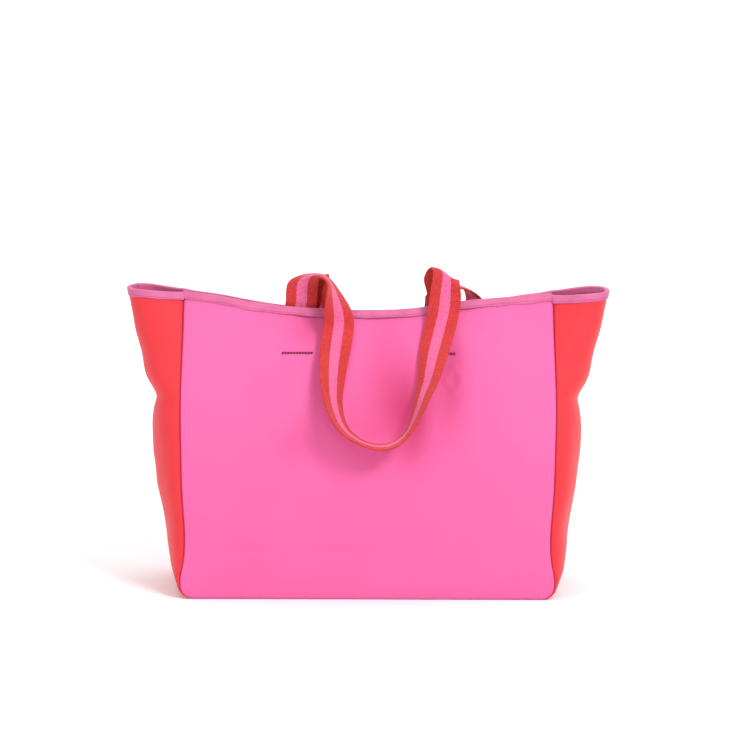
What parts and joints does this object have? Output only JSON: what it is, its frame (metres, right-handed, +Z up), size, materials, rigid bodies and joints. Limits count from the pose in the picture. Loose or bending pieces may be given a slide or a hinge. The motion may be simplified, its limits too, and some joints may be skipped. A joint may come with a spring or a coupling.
{
  "type": "beach bag",
  "caption": "Standing neoprene beach bag with flared side gussets, a bound rim, a stiffened base and striped webbing handles that swing up",
  "frame": {"origin": "under the middle of the base, on the surface that the bag stands on", "axes": "+X along the width of the bag, to the right as seen from the front; +Y from front to back; +Z up"},
  "size_m": [0.5774, 0.2398, 0.3896],
  "materials": {
    "pink_neoprene": "smooth knitted face over foam rubber, soft sheen",
    "red_neoprene": "smooth knitted face over foam rubber, soft sheen",
    "tape": "fine woven tape",
    "lining": "plain woven lining",
    "webbing": "ribbed woven webbing in equal red, pink and red stripes",
    "thread": "twisted polyester thread",
    "board": "matt sheet"
  },
  "bodies": {
    "bag": {"front_panel": "pink_neoprene", "back_panel": "pink_neoprene", "left_gusset": "red_neoprene", "right_gusset": "red_neoprene", "base_panel": "red_neoprene", "base_board": "board", "base_lining": "lining", "base_seam_tape": "tape", "rim_binding": "tape", "front_left_seam_tape": "tape", "front_right_seam_tape": "tape", "back_left_seam_tape": "tape", "back_right_seam_tape": "tape", "front_handle_left_leg": "webbing", "front_handle_right_leg": "webbing", "back_handle_left_leg": "webbing", "back_handle_right_leg": "webbing", "front_handle_stitching": "thread", "back_handle_stitching": "thread"},
    "front_handle": {"front_handle_loop": "webbing"},
    "back_handle": {"back_handle_loop": "webbing"}
  },
  "joints": [
    {"name": "front_handle_lift", "type": "hinge", "parent": "bag", "child": "front_handle", "pos_m": [0, -0.0153, 0.38], "axis": [-1, 0, 0], "range_deg": [0, 150]},
    {"name": "back_handle_lift", "type": "hinge", "parent": "bag", "child": "back_handle", "pos_m": [0, 0.0153, 0.368], "axis": [1, 0, 0], "range_deg": [0, 150]}
  ]
}
